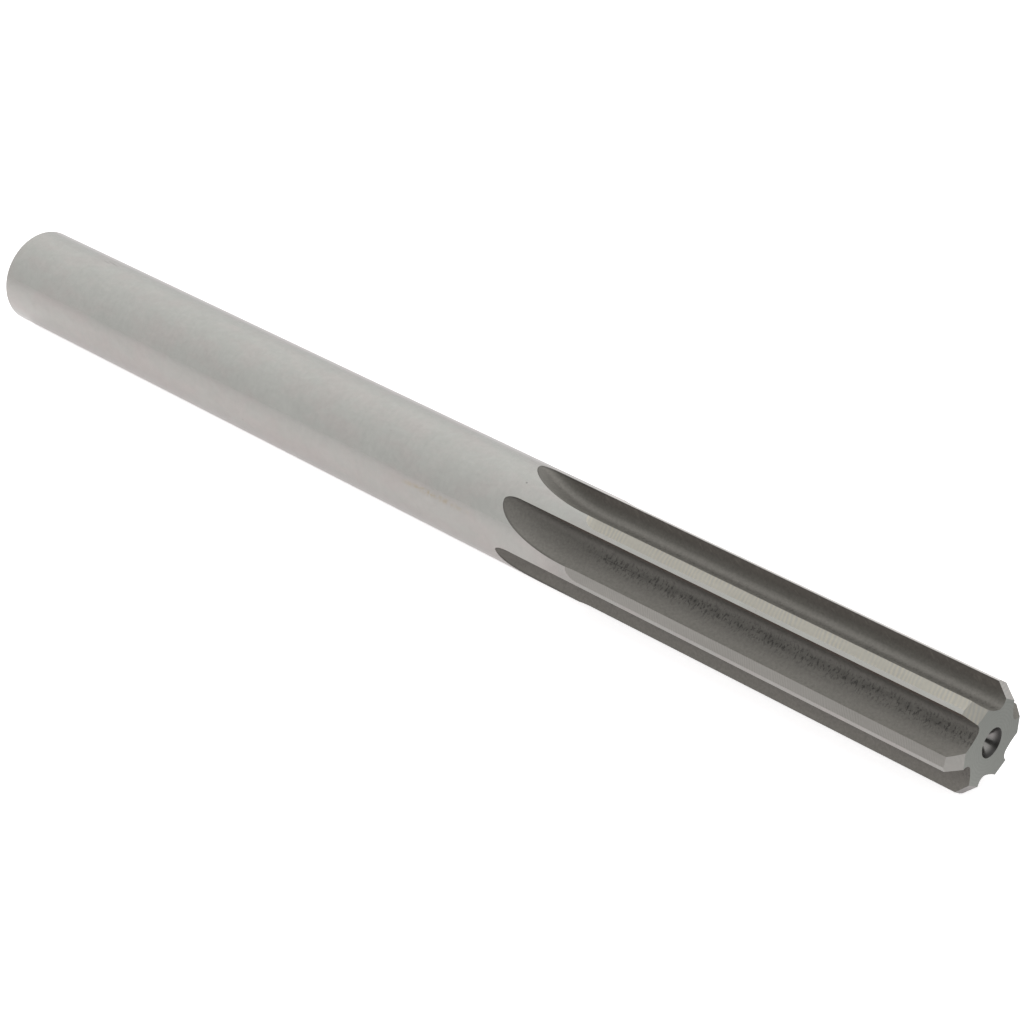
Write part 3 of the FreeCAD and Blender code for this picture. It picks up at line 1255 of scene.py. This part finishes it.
@dataclass(frozen=True)
class DrilledSteel(Steel):
    """Drilled surface: bright inside, with painted shade darkening it towards its mouth."""

    name: str = "drilled_steel"
    colour: tuple[float, float, float] = (0.25, 0.245, 0.235)
    roughness: float = 0.16
    mouth: tuple[float, float] = (1.15, 1.55)       # radii over which the painted shade sets in

    def look(self, graph: Graph) -> Look:
        """Colour, roughness and height over the surface."""
        place = graph.place
        # Painted shade: darker and rougher towards the mouth of the hole.
        stain = graph.off_axis.within(*self.mouth)
        grain = graph.noise(place, 1.8, 3.0)
        shade = (0.85 + 0.30 * grain) * (1.0 - 0.75 * stain)
        return Look(graph.scaled(self.colour, shade), self.roughness + 0.25 * stain, grain)


def finishes(bar: Bar) -> dict[Surface, Steel]:
    """The finish of each surface."""
    ground = GroundSteel(bar_radius=bar.radius)
    drilled = DrilledSteel()
    return {
        Surface.FLUTE: FluteSteel(),
        Surface.GROUND: ground,
        Surface.RELIEF: CrossGroundSteel(),
        Surface.LEAD: CrossGroundSteel(
            name="lead_steel", colour=(0.405, 0.405, 0.380), straw=(0.41, 0.385, 0.325),
            # painted light and shade on each tooth's lead
            pitch=0.36, painted_light_levels=(0.90, 1.11, 0.87, 0.86, 0.48, 0.92),
        ),
        Surface.END_FACE: FaceSteel(),
        Surface.CONE: drilled,
        Surface.BORE: drilled,
        Surface.DRILL_POINT: drilled,
        Surface.EDGE_BREAK: ground,
    }


# --- Stage -------------------------------------------------------------------------------------


@dataclass(frozen=True)
class Studio:
    """White table, soft light from a white room, and one broad lamp overhead."""

    table_height: float                                         # metres
    camera_direction: tuple[float, float, float]                # from the tool to the camera
    half_width: float = 3.0
    table_colour: tuple[float, float, float] = (0.79, 0.765, 0.775)
    table_to_camera: float = 0.75                               # its own light for the camera
    table_to_steel: tuple[float, float, float] = (0.66, 0.63, 0.64)
    glow_reach: float = 0.006                                   # where that to steel has halved
    sky: tuple[float, float, float] = (1.0, 1.0, 1.0)
    near_side_dimming: float = 0.25
    dimming_start: float = 0.7                                  # y of a direction
    dimming_span: float = 1.5
    dimming_power: float = 1.5
    far_edge_dimming: float = 0.22
    far_side: tuple[float, float] = (-0.2, 0.6)                 # y of a direction
    low_down: tuple[float, float] = (0.6, 0.0)                  # z of a direction
    camera_darkness: float = 0.9
    camera_rim: tuple[float, float] = (0.90, 0.97)              # cosine of the angle from it
    lamp_size: float = 1.2
    lamp_height: float = 1.4
    lamp_power: float = 3.0

    def table(self) -> bpy.types.Object:
        """The table top, white to the camera, where the tool's shadow still lies on it; to the steel
        it glows with painted light, brightest beside the tool.
        """
        reach = self.half_width
        corners = [(-reach, -reach), (reach, -reach), (reach, reach), (-reach, reach)]
        mesh = bpy.data.meshes.new("table")
        mesh.from_pydata([(x, y, self.table_height) for x, y in corners], [], [(0, 1, 2, 3)])
        material = bpy.data.materials.new("table_white")
        material.use_nodes = True
        graph = Graph(material.node_tree)
        ray = [graph.node("ShaderNodeLightPath", output=f"Is {kind} Ray")
               for kind in ("Camera", "Glossy", "Transmission")]
        metres = graph.node("ShaderNodeTexCoord", output="Object")
        _, y, _ = graph.parts(metres)
        # Painted light: the glow that the steel sees is strongest beside the tool and fills in the
        # tool's shadow in its reflections.
        painted_glow_by_tool = self.glow_reach / (abs(y) + self.glow_reach)
        glow = graph.node("ShaderNodeEmission", {}, {
            "Color": graph.blend(ray[0], self.table_to_steel, (self.table_to_camera,) * 3),
            "Strength": ray[0] + (ray[1] + ray[2]) * painted_glow_by_tool,
        })
        matt = graph.node("ShaderNodeBsdfDiffuse", {}, {"Color": self.table_colour})
        both = graph.node("ShaderNodeAddShader", {}, {0: matt, 1: glow})
        graph.node("ShaderNodeOutputMaterial", {}, {"Surface": both})
        mesh.materials.append(material)
        table = bpy.data.objects.new("table", mesh)
        bpy.context.scene.collection.objects.link(table)
        return table

    def lamp(self) -> bpy.types.Object:
        """The broad lamp, straight overhead."""
        light = bpy.data.lights.new("overhead_lamp", "AREA")
        light.shape = "DISK"
        light.size = self.lamp_size
        light.energy = self.lamp_power
        lamp = bpy.data.objects.new("overhead_lamp", light)
        lamp.location = (0.0, 0.0, self.lamp_height)
        bpy.context.scene.collection.objects.link(lamp)
        return lamp

    def room(self) -> None:
        """The room's white, which dims towards the camera's side and low over the far side.

        The level falls by a power of how far a direction turns from +Y to -Y. The steel also
        sees the camera itself, as a dark patch.
        """
        world = bpy.data.worlds.new("white_room")
        world.use_nodes = True
        graph = Graph(world.node_tree)
        direction = graph.node("ShaderNodeTexCoord", output="Generated")
        _, y, z = graph.parts(direction)
        ray = [graph.node("ShaderNodeLightPath", output=f"Is {kind} Ray")
               for kind in ("Camera", "Glossy")]
        turned = (self.dimming_start - y) / self.dimming_span
        turned = turned.math("MAXIMUM", turned, 0.0)
        fallen = turned.math("POWER", turned, self.dimming_power)
        far_edge = y.within(*self.far_side) * z.within(*self.low_down)
        level = 1.0 - self.near_side_dimming * fallen
        level = level * (1.0 - self.far_edge_dimming * far_edge)
        aim = graph.node("ShaderNodeVectorMath", {"operation": "DOT_PRODUCT"},
                         {0: direction, 1: self.camera_direction}, output="Value")
        level = level * (1.0 - self.camera_darkness * ray[1] * aim.within(*self.camera_rim))
        seen = ray[0] + (1.0 - ray[0]) * level
        background = graph.node("ShaderNodeBackground", {},
                                {"Color": self.sky, "Strength": seen})
        graph.node("ShaderNodeOutputWorld", {}, {"Surface": background})
        bpy.context.scene.world = world

    def build(self) -> None:
        """Sets the stage round the tool."""
        self.room()
        self.table()
        self.lamp()


@dataclass(frozen=True)
class Viewpoint:
    """A camera above the cutting end, looking back along the tool."""

    position: Vector = Vector((0.1091, -0.1830, 0.1537))
    elevation: float = math.radians(31.52)
    azimuth: float = math.radians(43.37)
    lens: float = 93.74
    sensor: float = 36.0
    nearest: float = 0.01       # metres

    @property
    def direction(self) -> tuple[float, float, float]:
        """Unit direction from the tool to the camera: the turn and rise of its own axis."""
        level = math.cos(self.elevation)
        return (
            math.sin(self.azimuth) * level,
            -math.cos(self.azimuth) * level,
            math.sin(self.elevation),
        )

    def build(self) -> bpy.types.Object:
        """Adds the camera and makes it the scene's own."""
        data = bpy.data.cameras.new("camera")
        data.lens = self.lens
        data.sensor_width = self.sensor
        data.clip_start = self.nearest
        camera = bpy.data.objects.new("camera", data)
        camera.location = self.position
        camera.rotation_euler = (math.pi / 2 - self.elevation, 0.0, self.azimuth)
        bpy.context.scene.collection.objects.link(camera)
        bpy.context.scene.camera = camera
        return camera


def main() -> None:
    """Builds the tool, dresses it and sets the stage."""
    logging.basicConfig(level=logging.INFO, format="%(name)s: %(message)s")
    bpy.context.scene.view_settings.view_transform = "Standard"
    low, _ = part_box("reamer")
    shank = next(mount for mount in frame["record"]["mounts"] if mount["name"] == "shank")
    bar = Bar(radius=shank["dims"]["r_mm"], length=-low.x / MM)
    reamer = Reamer(bar)
    piece = reamer.build()
    reamer.dress(piece)
    log.info("%s stands for the solid reamer", piece.name)
    viewpoint = Viewpoint()
    Studio(table_height=low.z, camera_direction=viewpoint.direction).build()
    viewpoint.build()
    log.info("stage and camera are set")


if __name__ == "__main__":
    main()
